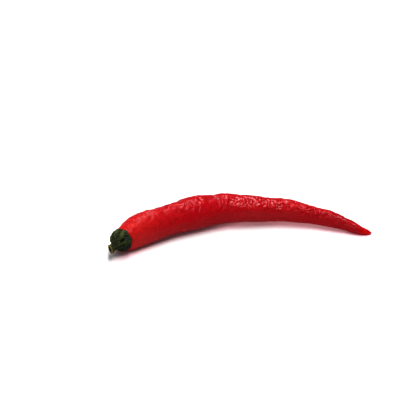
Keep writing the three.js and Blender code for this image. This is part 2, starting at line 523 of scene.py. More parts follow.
@dataclass(frozen=True)
class Station:
    """One place on the pod's centre line, in millimetres."""

    x: float
    y: float
    gap: float
    radius: float


@dataclass(frozen=True)
class Swelling:
    """A low swelling or dent of the pod: millimetres along it, degrees around it."""

    along: float
    around: float
    height: float
    length: float
    spread: float


@dataclass(frozen=True)
class PodForm:
    """The pod's form, with the same driving dimensions as its solid, in millimetres."""

    stations: tuple[Station, ...] = (
        Station(-58.1, -15.4, 1.1, 5.7),
        Station(-50.0, -6.4, -0.3, 7.1),
        Station(-42.0, -1.7, 0.0, 7.5),
        Station(-33.6, 2.7, 0.3, 7.2),
        Station(-18.6, 9.3, -0.3, 7.9),
        Station(-3.8, 12.4, 0.4, 7.1),
        Station(10.4, 10.6, 0.9, 6.35),
        Station(24.8, 8.5, 1.2, 5.3),
        Station(38.2, 3.7, 1.1, 4.2),
        Station(51.2, -4.1, 0.5, 3.0),
        Station(58.6, -9.0, -0.2, 1.75),
        Station(62.7, -9.9, 0.1, 0.65),
    )
    swellings: tuple[Swelling, ...] = (
        Swelling(8, 42, -0.85, 4.5, 55),
        Swelling(15, 60, 0.3, 7, 50),
        Swelling(27, 110, -0.35, 7, 60),
        Swelling(44, 200, 0.3, 10, 45),
        Swelling(55.5, 85, -0.5, 4, 50),
        Swelling(63, 75, 0.2, 5, 40),
        Swelling(69, 85, -0.35, 5, 55),
        Swelling(84, 190, -0.3, 8, 50),
        Swelling(84, 78, -0.6, 4, 50),
        Swelling(91, 65, 0.4, 5, 45),
        Swelling(106, 100, -0.2, 4, 60),
        Swelling(113, 70, 0.25, 4, 50),
    )
    shoulder_depth: float = 10.0
    shoulder_passes: int = 8
    shoulder_widest: float = 0.995
    tip_depth: float = 2.6
    lobes: int = 3
    lobe_height: float = 0.16
    lobe_twist: float = 0.02
    full_relief_radius: float = 4.0
    axis_step: float = 0.05

    def distances(self) -> np.ndarray:
        """Distance of each station from the first, straight from one to the next in plan."""
        plan = np.array([(s.x, s.y) for s in self.stations])
        return np.concatenate([[0.0], np.cumsum(np.linalg.norm(np.diff(plan, axis=0), axis=1))])

    def read(self, name: str, distance: np.ndarray) -> np.ndarray:
        """A smooth curve through one value of every station.

        Args:
            name: The station's field.
            distance: Where it is read, along the pod.

        Returns:
            The value at each distance.
        """
        knots = self.distances()
        values = np.array([getattr(s, name) for s in self.stations])
        runs = np.diff(knots)
        rises = np.diff(values) / runs
        inner = (rises[:-1] * runs[1:] + rises[1:] * runs[:-1]) / (runs[1:] + runs[:-1])
        slopes = np.concatenate([[rises[0]], inner, [rises[-1]]])
        i = np.clip(np.searchsorted(knots, distance, side="right") - 1, 0, len(knots) - 2)
        u = (distance - knots[i]) / runs[i]
        start = 2 * u**3 - 3 * u**2 + 1
        bend = (u**3 - 2 * u**2 + u) * slopes[i] + (u**3 - u**2) * slopes[i + 1]
        return start * values[i] + (1 - start) * values[i + 1] + runs[i] * bend

    def length(self) -> float:
        """The pod's length along its centre line."""
        return float(self.distances()[-1])

    def centre(self, distance: np.ndarray) -> np.ndarray:
        """Points of the centre line."""
        height = self.read("radius", distance) + self.read("gap", distance)
        return np.stack([self.read("x", distance), self.read("y", distance), height], axis=-1)

    def axes(self, distance: np.ndarray) -> tuple[np.ndarray, np.ndarray, np.ndarray]:
        """The pod's directions at a distance: towards the tip, to the bow's outer side, and up.

        Args:
            distance: Where they are read, along the pod.

        Returns:
            The three directions.
        """
        ahead = self.centre(np.minimum(distance + self.axis_step, self.length()))
        behind = self.centre(np.maximum(distance - self.axis_step, 0.0))
        forward = unit(ahead - behind)
        outer = unit(np.cross(UP, forward))
        return forward, outer, np.cross(forward, outer)

    def shoulder_distance(self, span: np.ndarray) -> np.ndarray:
        """How far along the shoulder has grown to a distance from the pod's axis.

        Args:
            span: The distance from the axis.

        Returns:
            The distance along the pod.
        """
        distance = np.zeros_like(span)
        for _ in range(self.shoulder_passes):
            share = np.minimum(span / self.read("radius", distance), self.shoulder_widest)
            distance = self.shoulder_depth * (1 - np.sqrt(1 - share**2))
        return distance

    def shoulder(self, span: np.ndarray, around: np.ndarray) -> tuple[np.ndarray, np.ndarray]:
        """Points on the shoulder and the directions that face out of it.

        Args:
            span: Distance of each point from the pod's axis.
            around: Its angle around the pod.

        Returns:
            The points and their outward directions.
        """
        distance = self.shoulder_distance(span)
        forward, outer, top = self.axes(distance)
        turn = np.radians(around)[..., None]
        radial = outer * np.cos(turn) + top * np.sin(turn)
        girth = self.read("radius", distance)
        left = 1 - distance / self.shoulder_depth
        points = self.centre(distance) + radial * span[..., None]
        slope = (girth * left / self.shoulder_depth)[..., None]
        return points, unit(radial * (span / girth)[..., None] - forward * slope)


@dataclass(frozen=True)
class SkinFinish:
    """The pod's glossy red skin. Spans are along the pod from its stem end, except end_span, from its tip.

    Clouds of the stem end's red lie over the body's, and the creases are painted a deeper red as shade. The
    stem end is duller than the rest, and the middle has a thin coat for the streaks of light on it.
    """

    stem_red: Triple = (0.41, 0.018, 0.018)
    body_red: Triple = (0.33, 0.005, 0.012)
    tip_red: Triple = (0.285, 0.005, 0.011)
    end_red: Triple = (0.42, 0.003, 0.003)
    crease_shade_red: Triple = (0.22, 0.001, 0.002)
    body_span: Span = (4.0, 34.0)
    tip_span: Span = (90.0, 120.0)
    end_span: Span = (6.5, 1.0)
    cloud_scale: float = 0.09
    cloud_gain: float = 0.9
    cloud_level: float = 0.15
    crease_shade_gain: float = -2.0
    crease_shade_share: float = 0.25
    roughness: float = 0.15
    mottle_scale: float = 1.6
    mottle_roughness: float = 0.1
    stem_roughness: float = 0.14
    stem_dull_span: Span = (48.0, 14.0)
    middle_roughness: float = 0.06
    middle_dull_span: Span = (62.0, 78.0)
    coat: float = 0.15
    coat_start: Span = (64.0, 74.0)
    coat_end: Span = (104.0, 88.0)
    coat_roughness: float = 0.15
    refraction: float = 1.4
    specular: float = 0.15
    flesh: float = 0.7
    flesh_reach: Triple = (1.0, 0.15, 0.1)
    flesh_depth: float = 3.0
    pore_scale: float = 2.6
    pore_strength: float = 0.25
    pore_depth: float = 0.25

    def material(self, length: float) -> bpy.types.Material:
        """Builds the material for a pod of this length in millimetres.

        Args:
            length: The pod's length.

        Returns:
            The material.
        """
        made, graph, shader = new_material("skin")
        skin = graph.out("ShaderNodeAttribute", {"attribute_name": "skin"}, None, "Vector")
        along = graph.split(skin)[0]
        cloud = graph.noise(skin, self.cloud_scale, detail=3.0)
        # The creases' deeper red is painted shade, laid where the puckers' relief is low.
        layers = (
            (along.step(*self.body_span), self.body_red),
            (along.step(*self.tip_span), self.tip_red),
            ((cloud * self.cloud_gain + self.cloud_level).step(0.0, 1.0), self.stem_red),
            ((graph.mark("relief") * self.crease_shade_gain).step(0.0, 1.0) * self.crease_shade_share, self.crease_shade_red),
            (along.step(length - self.end_span[0], length - self.end_span[1]), self.end_red),
        )
        red: Any = rgba(self.stem_red)
        for share, layer_red in layers:
            red = graph.mix(share, red, rgba(layer_red))
        mottle = graph.noise(skin, self.mottle_scale, detail=3.0, roughness=0.6)
        roughness = mottle * self.mottle_roughness + self.roughness
        roughness = roughness + along.step(*self.stem_dull_span) * self.stem_roughness
        roughness = roughness + along.step(*self.middle_dull_span) * self.middle_roughness
        coat = along.step(*self.coat_start) * along.step(*self.coat_end) * self.coat
        pores = graph.noise(skin, self.pore_scale, detail=4.0, roughness=0.6)
        graph.feed(shader, {
            "Base Color": red, "Roughness": roughness, "Coat Weight": coat,
            "Normal": graph.bump(self.pore_strength, self.pore_depth, pores),
            "IOR": self.refraction, "Specular IOR Level": self.specular,
            "Coat Roughness": self.coat_roughness, "Coat IOR": self.refraction,
            "Subsurface Weight": self.flesh, "Subsurface Radius": self.flesh_reach,
            "Subsurface Scale": self.flesh_depth * MM})
        return made


@dataclass(frozen=True)
class Crinkles:
    """The pattern of the skin's puckers: rounded cells, wider than long, with creases between them.

    Triple scales are along the pod and the two ways across it. Spans are along the pod from its stem end,
    except end_span, from its tip. The pattern is finer and closer towards the tip. Each growth is a span and
    how much of the puckers it adds. Where they are not grown, a fine grain takes their place.
    """

    height: float = 0.45
    seed: float = 55.1
    seed_shares: Triple = (1.0, 1.7, -0.6)
    finer_span: Span = (62.0, 88.0)
    finer_gain: float = 0.3
    closer_start: float = 75.0
    closer_gain: float = 0.3
    sway_scale: float = 0.2
    sway_reach: float = 5.0
    cell_scale: Triple = (0.40, 0.25, 0.25)
    cell_smoothness: float = 0.35
    cell_randomness: float = 0.9
    cell_middle: float = 0.42
    cell_share: float = 0.4
    ridge_scale: Triple = (0.27, 0.22, 0.22)
    ridge_width: float = 0.13
    ridge_mean: float = 0.5
    patch_scale: Triple = (0.07, 0.09, 0.09)
    patch_span: Span = (-0.2, 0.15)
    patch_gain: float = 0.35
    topside_span: Span = (-3.0, 4.0)
    topside_gain: float = 0.85
    growths: tuple[tuple[Span, float], ...] = (((14.0, 38.0), 0.25), ((3.0, 12.0), 0.75), ((66.0, 84.0), 0.1))
    end_span: Span = (1.0, 9.0)
    slow_scale: Triple = (0.11, 0.14, 0.14)
    slow_height: float = 1.2
    slow_span: Span = (6.0, 20.0)
    grain_scale: Triple = (0.9, 0.6, 0.6)
    grain_height: float = 0.3
    bare_grain_height: float = 1.6

    def relief(self, graph: Graph, skin: Any, seed: Value, length: float) -> Value:
        """The puckers' heights.

        Args:
            graph: The tree's graph.
            skin: The place on the skin as a vector, in millimetres along the pod and the two ways across it.
            seed: Shifts the pattern.
            length: The pod's length in millimetres.

        Returns:
            Their height, from about -1 to 1.
        """
        along, aside, upwards = graph.split(skin)
        finer = along.step(*self.finer_span) * self.finer_gain + 1.0
        closer = (along - self.closer_start).at_least(0.0) * self.closer_gain
        warped = graph.xyz(along + closer, aside * finer, upwards * finer)
        moved = graph.vector("ADD", warped, graph.xyz(*(seed * share for share in self.seed_shares)))
        sway = graph.out("ShaderNodeTexNoise", None,
                         {"Vector": moved, "Scale": self.sway_scale, "Detail": 2.0}, "Color")
        sway = graph.scaled(graph.vector("SUBTRACT", sway, (0.5, 0.5, 0.5)), self.sway_reach)
        swayed = graph.vector("ADD", moved, sway)
        cell = graph.value("ShaderNodeTexVoronoi", {"feature": "SMOOTH_F1"}, {
            "Vector": graph.vector("MULTIPLY", swayed, self.cell_scale), "Scale": 1.0,
            "Smoothness": self.cell_smoothness, "Randomness": self.cell_randomness}, "Distance")
        worm = graph.noise(swayed, self.ridge_scale, detail=1.0, roughness=0.4) / self.ridge_width
        ridges = (-(worm * worm)).exp()
        puckers = (self.cell_middle - cell) * self.cell_share + ridges - self.ridge_mean
        patch = graph.noise(moved, self.patch_scale, detail=1.0).step(*self.patch_span)
        grown = along * 0.0
        for span, share in self.growths:
            grown = grown + along.step(*span) * share
        grown = grown * (length - along).step(*self.end_span)
        strength = grown * (patch * self.patch_gain + (1.0 - self.patch_gain))
        topside = upwards.step(*self.topside_span) * self.topside_gain + (1.0 - self.topside_gain)
        strength = strength * topside
        slow = graph.noise(moved, self.slow_scale, detail=1.0) * self.slow_height
        grain = graph.noise(moved, self.grain_scale, detail=2.0)
        grain_height = (1.0 - grown) * self.bare_grain_height + self.grain_height
        return puckers * strength + slow * along.step(*self.slow_span) + grain * grain_height


@dataclass
class Pod:
    """The red fruit: a swept skin with crinkles, made by Geometry Nodes around its centre line."""

    form: PodForm = field(default_factory=PodForm)
    finish: SkinFinish = field(default_factory=SkinFinish)
    crinkles: Crinkles = field(default_factory=Crinkles)
    rings: int = 600
    sides: int = 156
    path_points: int = 260
    crowding: float = 0.55
    weld: float = 0.002

    def path(self) -> bpy.types.Object:
        """The centre line as a curve object whose radius is the pod's, in metres.

        Returns:
            The curve object.
        """
        distance = np.linspace(0.0, self.form.length(), self.path_points)
        centre = self.form.centre(distance) * MM
        girth = self.form.read("radius", distance) * MM
        curve = bpy.data.curves.new("pod_path", "CURVE")
        curve.dimensions = "3D"
        spline = curve.splines.new("POLY")
        spline.points.add(self.path_points - 1)
        for point, place, radius in zip(spline.points, centre, girth):
            point.co = (*place, 1.0)
            point.radius = radius
        return add_object("pod_path", curve)

    def swellings(self, along: Value, around: Value) -> Value:
        """The sum of the swellings and dents.

        Args:
            along: Millimetres along the pod.
            around: Degrees around it.

        Returns:
            Their height in millimetres.
        """
        total = along * 0.0
        for swelling in self.form.swellings:
            lengthwise = (along - swelling.along) / swelling.length
            turn = ((around - (swelling.around - 540.0)).math("MODULO", 360.0) - 180.0) / swelling.spread
            total = total + (-(lengthwise * lengthwise) - turn * turn).exp() * swelling.height
        return total

    def group(self) -> bpy.types.NodeTree:
        """The Geometry Nodes group that turns the path into the pod.

        Returns:
            The group.
        """
        sizes = ("Shoulder depth", "Tip depth", "Lobe height", "Crinkle height", "Crinkle seed")
        kinds = {"Rings": "Int", "Sides": "Int", **{size: "Float" for size in sizes}, "Skin": "Material"}
        graph, given = new_group("pod_skin", "Path", kinds, "Pod")
        size = {key: Value(graph, given.outputs[key]) for key in sizes}
        path = given.outputs["Path"]
        grid = graph.node("GeometryNodeMeshGrid", None, {
            "Size X": 1.0, "Size Y": 1.0, "Vertices X": given.outputs["Rings"],
            "Vertices Y": given.outputs["Sides"]})
        across = graph.split(graph.out("GeometryNodeInputPosition"))
        share, turn = across[0] + 0.5, (across[1] + 0.5) * FULL_TURN
        length = graph.value("GeometryNodeCurveLength", None, {0: path})
        wave = (share * FULL_TURN).sin() * (self.crowding / FULL_TURN)
        reach = length * (share - wave)
        sample = graph.node("GeometryNodeSampleCurve", {"mode": "LENGTH"}, {
            "Curves": path, "Value": graph.out("GeometryNodeInputRadius"), "Length": reach})
        girth = Value(graph, sample.outputs["Value"]) / MM
        along, whole = reach / MM, length / MM
        forward = sample.outputs["Tangent"]
        outer = graph.vector("NORMALIZE", graph.vector("CROSS_PRODUCT", UP, forward))
        top = graph.vector("CROSS_PRODUCT", forward, outer)
        radial = graph.vector("ADD", graph.scaled(outer, turn.cos()), graph.scaled(top, turn.sin()))
        skin = graph.xyz(along, girth * turn.cos(), girth * turn.sin())
        left = (1.0 - along / size["Shoulder depth"]).at_least(0.0)
        end = (1.0 - (whole - along) / size["Tip depth"]).at_least(0.0)
        rounding = (1.0 - left * left).at_least(0.0).sqrt() * (1.0 - end * end).at_least(0.0).sqrt()
        lobes = ((turn + along * self.form.lobe_twist) * self.form.lobes).cos() * size["Lobe height"]
        crinkles = self.crinkles.relief(graph, skin, size["Crinkle seed"], self.form.length())
        around = turn * (180.0 / math.pi)
        relief = self.swellings(along, around) + lobes + crinkles * size["Crinkle height"]
        relief = relief * (girth / self.form.full_relief_radius).at_most(1.0)
        radius = rounding * (girth + relief) * MM
        place = graph.vector("ADD", sample.outputs["Position"], graph.scaled(radial, radius))
        # The skin stays on or above the surface that the pod rests on.
        x, y, z = graph.split(place)
        place = graph.xyz(x, y, z.at_least(0.0))
        surface = grid.outputs["Mesh"]
        surface = graph.store(surface, BAKE_MAP, "FLOAT2", "CORNER", grid.outputs["UV Map"])
        surface = graph.store(surface, "skin", "FLOAT_VECTOR", "POINT", skin)
        surface = graph.store(surface, "relief", "FLOAT", "POINT", crinkles)
        surface = graph.out("GeometryNodeSetPosition", None, {"Geometry": surface, "Position": place})
        surface = graph.out("GeometryNodeMergeByDistance", None,
                            {"Geometry": surface, "Distance": self.weld * MM})
        surface = graph.out("GeometryNodeSetShadeSmooth", None, {"Geometry": surface})
        return graph.finish_group(surface, given.outputs["Skin"], "Pod")

    def build(self) -> bpy.types.Object:
        """Makes the pod, which replaces its solid.

        Returns:
            The pod.
        """
        inputs = {"Rings": self.rings + 1, "Sides": self.sides + 1,
                  "Shoulder depth": self.form.shoulder_depth, "Tip depth": self.form.tip_depth,
                  "Lobe height": self.form.lobe_height, "Crinkle height": self.crinkles.height,
                  "Crinkle seed": self.crinkles.seed, "Skin": self.finish.material(self.form.length())}
        pod = grown_by_nodes("pod_skin", self.path(), self.group(), inputs)
        return dressed(pod, Slot.SKIN, "pod")


@dataclass(frozen=True)
class StubForm:
    """The stub of the stem: its path from the pod's end and its thickness. Spans are shares of its length."""

    reach: Triple = (-3.4, -2.1, -1.9)
    end_heading: Triple = (-0.93, -0.35, -0.1)
    pull: float = 1.6
    seat: float = 0.3
    base_radius: float = 2.5
    waist_radius: float = 1.8
    waist_span: Span = (0.25, 0.6)
    end_radius: float = 2.05
    end_span: Span = (0.6, 0.95)
    ribs: int = 5
    rib_height: float = 0.10
    rib_span: Span = (0.3, 0.6)
    pith_radius: float = 1.15
    pith_depth: float = 0.7

    def frame(self, pod: PodForm, share: np.ndarray) -> tuple[np.ndarray, ...]:
        """The stub's centre and directions.

        Args:
            pod: The pod that it grows from.
            share: How far along the stub, from 0 to 1.

        Returns:
            Its centre, its heading, the bow's outer side and up.
        """
        base = pod.centre(np.array(0.0))
        outward = -pod.axes(np.array(0.0))[0]
        heading = unit(np.array(self.end_heading))
        start = base + outward * self.seat
        end = base + np.array(self.reach)
        u = np.asarray(share)[..., None]
        centre = bezier((start, start + outward * self.pull, end - heading * self.pull, end), u)
        along = unit(outward * (1 - u) + heading * u)
        outer = unit(np.cross(along, UP))
        return centre, along, outer, np.cross(outer, along)

    def radius(self, share: np.ndarray, around: np.ndarray) -> np.ndarray:
        """Distance of the stub's side from its centre.

        Args:
            share: How far along the stub.
            around: Angle around it.

        Returns:
            The distance in millimetres.
        """
        waist = self.waist_radius - self.base_radius
        flare = self.base_radius + waist * smooth_step(self.waist_span, share)
        knob = (self.end_radius - self.waist_radius) * smooth_step(self.end_span, share)
        rib = np.cos(self.ribs * np.radians(180.0 - around))
        return flare + knob + self.rib_height * smooth_step(self.rib_span, share) * rib

    def side(self, pod: PodForm, share: np.ndarray, around: np.ndarray, radius: Any) -> np.ndarray:
        """Points at a radius round the stub's centre line.

        Args:
            pod: The pod that the stub grows from.
            share: How far along the stub.
            around: Angle around it.
            radius: Distance from its centre line.

        Returns:
            The points.
        """
        centre, _, outer, top = self.frame(pod, share)
        turn = np.radians(around)[..., None]
        return centre + (outer * np.cos(turn) + top * np.sin(turn)) * np.asarray(radius)[..., None]


@dataclass(frozen=True)
class Grain:
    """One layer of roughness on a modelled mesh, from about -height to height in millimetres."""

    height: float
    scale: float
    octaves: int = 3
    shift: float = 0.0
    smoothness: float = 0.8
    layer_ratio: float = 2.1

    def at(self, points: np.ndarray) -> np.ndarray:
        """The layer's heights at points in millimetres.

        Args:
            points: The points.

        Returns:
            The height at each.
        """
        flat = (points + self.shift).reshape(-1, 3) * self.scale
        heights = [noise.fractal(Vector(point), self.smoothness, self.layer_ratio, self.octaves)
                   for point in flat]
        return np.array(heights).reshape(points.shape[:-1]) * self.height


@dataclass(frozen=True)
class LeafyFinish:
    """A green, leathery finish: painted shade darkens its furrows and painted light brightens its ridges, and
    it is stained where it is bare.

    The mottle shares are how much the mottle shifts the body's green, the ridges' and the stain.
    """

    name: str
    painted_lit_ridge: Triple
    body: Triple
    furrow_shade_and_speck: Triple
    stain: Triple
    grain: Triple
    roughness: float
    specular: float = 0.16
    mottle_scale: float = 0.9
    mottle_shares: Triple = (0.5, 0.9, 0.5)
    speck_scale: float = 4.5
    speck_span: Span = (0.08, 0.3)
    speck_share: float = 0.5
    body_span: Span = (-0.45, 0.1)
    ridge_span: Span = (0.1, 0.75)
    stain_span: Span = (0.25, 0.75)
    pit_scale: float = 3.0
    pit_roughness: float = 0.3
    fibre_share: float = 0.8
    bump_strength: float = 0.6
    bump_depth: float = 0.2

    def material(self) -> bpy.types.Material:
        """Builds the material, which reads the painted light and shade of each point from the mesh's own
        marks.

        Returns:
            The material.
        """
        made, graph, shader = new_material(self.name)
        height, bare, place = graph.mark("height"), graph.mark("bare"), graph.place()
        mottle = graph.noise(place, self.mottle_scale, detail=4.0, roughness=0.6)
        specks = graph.noise(place, self.speck_scale, detail=2.0, roughness=0.7)
        on_body, on_ridge, on_stain = self.mottle_shares
        # Painted light and shade: a low height mark gives the dark furrow colour and a high one the lit ridge
        # colour; the specks and the stain are the finish's own colours.
        layers = (
            ((height + mottle * on_body).step(*self.body_span), self.body),
            ((height + mottle * on_ridge).step(*self.ridge_span), self.painted_lit_ridge),
            (specks.step(*self.speck_span) * self.speck_share, self.furrow_shade_and_speck),
            ((bare + mottle * on_stain).step(*self.stain_span), self.stain),
        )
        green: Any = rgba(self.furrow_shade_and_speck)
        for share, layer_green in layers:
            green = graph.mix(share, green, rgba(layer_green))
        fibres = graph.noise(place, self.grain, detail=3.0, roughness=0.6)
        pits = graph.noise(place, self.pit_scale, detail=4.0, roughness=0.65)
        graph.feed(shader, {
            "Base Color": green, "Roughness": pits * self.pit_roughness + self.roughness,
            "Normal": graph.bump(self.bump_strength, self.bump_depth, fibres * self.fibre_share + pits),
            "Specular IOR Level": self.specular})
        return made


def calyx_finish() -> LeafyFinish:
    """Dark, dull green, with its ridges painted a lit olive and its furrows painted in shade.

    Returns:
        The finish.
    """
    return LeafyFinish("calyx_skin", painted_lit_ridge=(0.070, 0.080, 0.025), body=(0.023, 0.034, 0.012),
                       furrow_shade_and_speck=(0.005, 0.009, 0.005), stain=(0.068, 0.080, 0.027), grain=(1.4, 1.4, 1.4),
                       roughness=0.5)


def stub_finish() -> LeafyFinish:
    """Olive green bark, its ridges painted a lit olive and its grooves painted in shade, straw-coloured where
    it is torn.

    Returns:
        The finish.
    """
    return LeafyFinish("stem_skin", painted_lit_ridge=(0.068, 0.072, 0.022), body=(0.026, 0.031, 0.010),
                       furrow_shade_and_speck=(0.008, 0.010, 0.004), stain=(0.170, 0.155, 0.045), grain=(1.0, 6.0, 6.0),
                       roughness=0.6)


@dataclass
class Calyx:
    """The leathery cap on the pod's shoulder, with a rib to each sepal's corner and a collar on the stub.

    A low vein lies between each two ribs. Outward is 0 at the stub and 1 at the cap's edge. The mark that the
    finish reads is painted light and shade: the relief is painted lighter on its lumps and darker in its
    furrows, and each painted side light is an angle and how far the green there is raised or lowered in that
    mark, as painted shade on the lower side and painted light on the upper side. A phase sets how ribs and
    veins differ from one to the next.
    """

    pod: PodForm = field(default_factory=PodForm)
    stub: StubForm = field(default_factory=StubForm)
    finish: LeafyFinish = field(default_factory=calyx_finish)
    sepals: tuple[Span, ...] = (
        (12, 4.7), (62, 4.8), (116, 5.0), (168, 4.9), (211, 4.7), (256, 4.5), (312, 4.5))
    edge_roundness: float = 0.95
    tip_length: float = 0.18
    tip_spread: float = 7.0
    rim_thickness: float = 0.62
    rim_roundness: float = 0.55
    crown_thickness: float = 1.5
    thinning: float = 0.7
    least_thickness: float = 0.25
    rib_height: float = 0.6
    rib_start: float = 0.25
    rib_spread: float = 16.0
    rib_unevenness: float = 0.25
    rib_sway: float = 4.0
    rib_waves: float = 5.0
    rib_phases: Span = (2.1, 3.7)
    rib_mean: float = 0.4
    vein_height: float = 0.45
    vein_spread: float = 7.0
    vein_shift: float = 0.08
    vein_sway: float = 3.0
    vein_waves: float = 7.0
    vein_phase: float = 5.1
    crumples: tuple[Grain, ...] = (Grain(0.36, 0.55), Grain(0.26, 1.2, shift=40.0))
    settled_share: float = 0.6
    settled_span: Span = (0.85, 1.0)
    painted_side_light: tuple[Span, ...] = ((215.0, -0.24), (40.0, 0.14))
    painted_side_light_spread: float = 60.0
    painted_relief_shading: float = 0.8
    collar_shade: float = 0.22
    full_shade: float = 0.45
    collar_wear: float = 0.5
    rim_wear: float = 0.28
    rim_wear_rows: int = 3
    seat: float = 0.1
    inner_edge: float = 0.97
    collar_share: float = 0.5
    collar_wave: float = 0.05
    collar_waves: float = 3.0
    collar_sink: float = 0.12
    collar_outward: float = 0.34
    collar_pulls: Span = (0.45, 0.4)
    collar_rib_height: float = 0.10
    collar_grain: Grain = Grain(0.10, 1.1)
    sides: int = 308
    collar_rows: int = 18
    cap_rows: int = 34
    rim_rows: int = 6
    inner_rows: int = 8

    def span(self, around: np.ndarray) -> np.ndarray:
        """Distance of the edge from the pod's axis at each angle, in millimetres.

        Args:
            around: The angles.

        Returns:
            The distances.
        """
        edge = np.zeros_like(around)
        for (start, near), (stop, far) in zip(self.sepals, self.sepals[1:] + self.sepals[:1]):
            width = (stop - start) % 360.0
            turn = (around - start) % 360.0
            inside = turn <= width
            across = near * np.sin(np.radians(turn)) + far * np.sin(np.radians(width - turn))
            chord = near * far * math.sin(math.radians(width)) / np.where(inside, across, 1.0)
            arc = near + (far - near) * turn / width
            tip = self.tip_length * bell(np.minimum(turn, width - turn), self.tip_spread)
            edge = np.where(inside, chord + (arc - chord) * self.edge_roundness + tip, edge)
        return edge

    def ribs(self, outward: np.ndarray, around: np.ndarray) -> np.ndarray:
        """Height share of the ribs and veins, from 0 in the furrows to 1 on the ribs' crests.

        Args:
            outward: 0 at the stub, 1 at the edge.
            around: Angle around the pod.

        Returns:
            The height shares.
        """
        height = np.zeros_like(around)
        corners = [angle for angle, _ in self.sepals]
        for index, (angle, following) in enumerate(zip(corners, corners[1:] + corners[:1])):
            sway = self.rib_sway * np.sin(outward * self.rib_waves + index * self.rib_phases[0])
            spread = self.rib_spread * (1.0 + self.rib_unevenness * math.sin(index * self.rib_phases[1]))
            height = np.maximum(height, bell(turn_between(around + sway, angle), spread))
            share = 0.5 + self.vein_shift * math.sin(index * self.vein_phase)
            middle = (angle + ((following - angle) % 360.0) * share) % 360.0
            sway = self.vein_sway * np.sin(outward * self.vein_waves + index)
            vein = bell(turn_between(around - sway, middle), self.vein_spread)
            height = np.maximum(height, self.vein_height * vein)
        return height

    def relief(self, outward: np.ndarray, around: np.ndarray, skin: np.ndarray) -> np.ndarray:
        """Height of the cap's lumps and crumples above its mean thickness, in millimetres.

        Args:
            outward: 0 at the stub, 1 at the edge.
            around: Angle around the pod.
            skin: Points of the pod's skin below.

        Returns:
            The heights.
        """
        swell = np.sin(np.pi * np.minimum(self.rib_start + (1.0 - self.rib_start) * outward, 1.0))
        crumple = sum(grain.at(skin) for grain in self.crumples)
        settled = 1.0 - self.settled_share * smooth_step(self.settled_span, outward)
        return self.rib_height * swell * (self.ribs(outward, around) - self.rib_mean) + crumple * settled

    def cap(self, outward: np.ndarray, around: np.ndarray) -> tuple[np.ndarray, ...]:
        """The cap's outside.

        Args:
            outward: 0 at the stub, 1 at the edge.
            around: Angle around the pod.

        Returns:
            Its points, the pod's skin below them, the directions out of it and the relief's height.
        """
        base = self.stub.base_radius
        span = base + (self.span(around) - base) * outward
        skin, normal = self.pod.shoulder(span, around)
        thick = self.crown_thickness + (self.rim_thickness - self.crown_thickness) * outward**self.thinning
        relief = self.relief(outward, around, skin)
        height = self.seat + np.maximum(thick + relief, self.least_thickness)
        return skin + normal * height[..., None], skin, normal, relief

    def rows(self) -> tuple[np.ndarray, np.ndarray, np.ndarray]:
        """Rows of points from the collar out over the cap, round its edge and back inside.

        Returns:
            The rows, how high they stand in the relief, and how worn they look: the collar and the edge.
        """
        around = np.linspace(0.0, 360.0, self.sides, endpoint=False)
        shares = np.linspace(self.collar_outward, 1.0, self.cap_rows)
        grid_out, grid_around = np.meshgrid(shares, around, indexing="ij")
        cap, skin, normal, relief = self.cap(grid_out, grid_around)
        low = np.linspace(self.inner_edge, 0.0, self.inner_rows)
        _, inside, facing, _ = self.cap(*np.meshgrid(low, around, indexing="ij"))
        rows = np.concatenate([self.collar(around, cap), cap, self.edge(cap[-1], skin[-1], normal[-1]),
                               inside + facing * self.seat])
        cap_end = self.collar_rows + self.cap_rows
        worn = np.zeros(rows.shape[:2])
        worn[: self.collar_rows] = np.linspace(self.collar_wear, 0.0, self.collar_rows)[:, None]
        worn[cap_end - self.rim_wear_rows: cap_end + self.rim_rows] = self.rim_wear
        # Painted light and shade for the finish: lumps lighter, furrows darker, painted shade on the lower
        # side, painted light on the upper side, and a set level on the collar by the stub.
        shade = relief * self.painted_relief_shading
        for angle, change in self.painted_side_light:
            shade = shade + change * bell(turn_between(grid_around, angle), self.painted_side_light_spread)
        rising = np.linspace(0.0, 1.0, self.collar_rows)[:, None]
        height = np.zeros(rows.shape[:2])
        height[: self.collar_rows] = shade[0] * rising + self.collar_shade * (1.0 - rising)
        height[self.collar_rows: cap_end] = shade
        height[cap_end:] = shade[-1]
        return rows, height / self.full_shade, worn

    def collar(self, around: np.ndarray, cap: np.ndarray) -> np.ndarray:
        """The collar: smooth curves from the stub's side out to the cap's first row.

        Args:
            around: The angles of the cap's points.
            cap: The cap's rows of points.

        Returns:
            The collar's rows.
        """
        wave = self.collar_wave * np.sin(np.radians(around) * self.collar_waves)
        share = np.full_like(around, self.collar_share) + wave
        radius = self.stub.radius(share, around) - self.collar_sink
        start, stop = self.stub.side(self.pod, share, around, radius), cap[0]
        centre, heading, _, _ = self.stub.frame(self.pod, share)
        gap = np.linalg.norm(stop - start, axis=-1)[:, None]
        leaving = start - heading * gap * self.collar_pulls[0]
        arriving = stop + unit(cap[0] - cap[1]) * gap * self.collar_pulls[1]
        u = np.linspace(0.0, 1.0, self.collar_rows, endpoint=False)[:, None, None]
        rows = bezier((start, leaving, arriving, stop), u)
        everywhere = rows.shape[:2]
        ridges = self.ribs(np.full(everywhere, self.collar_outward), np.broadcast_to(around, everywhere))
        height = self.collar_rib_height * (ridges - self.rib_mean) + self.collar_grain.at(rows)
        fade = np.sqrt(np.sin(np.pi * u[..., 0]))
        return rows + unit(rows - centre) * (height * fade)[..., None]

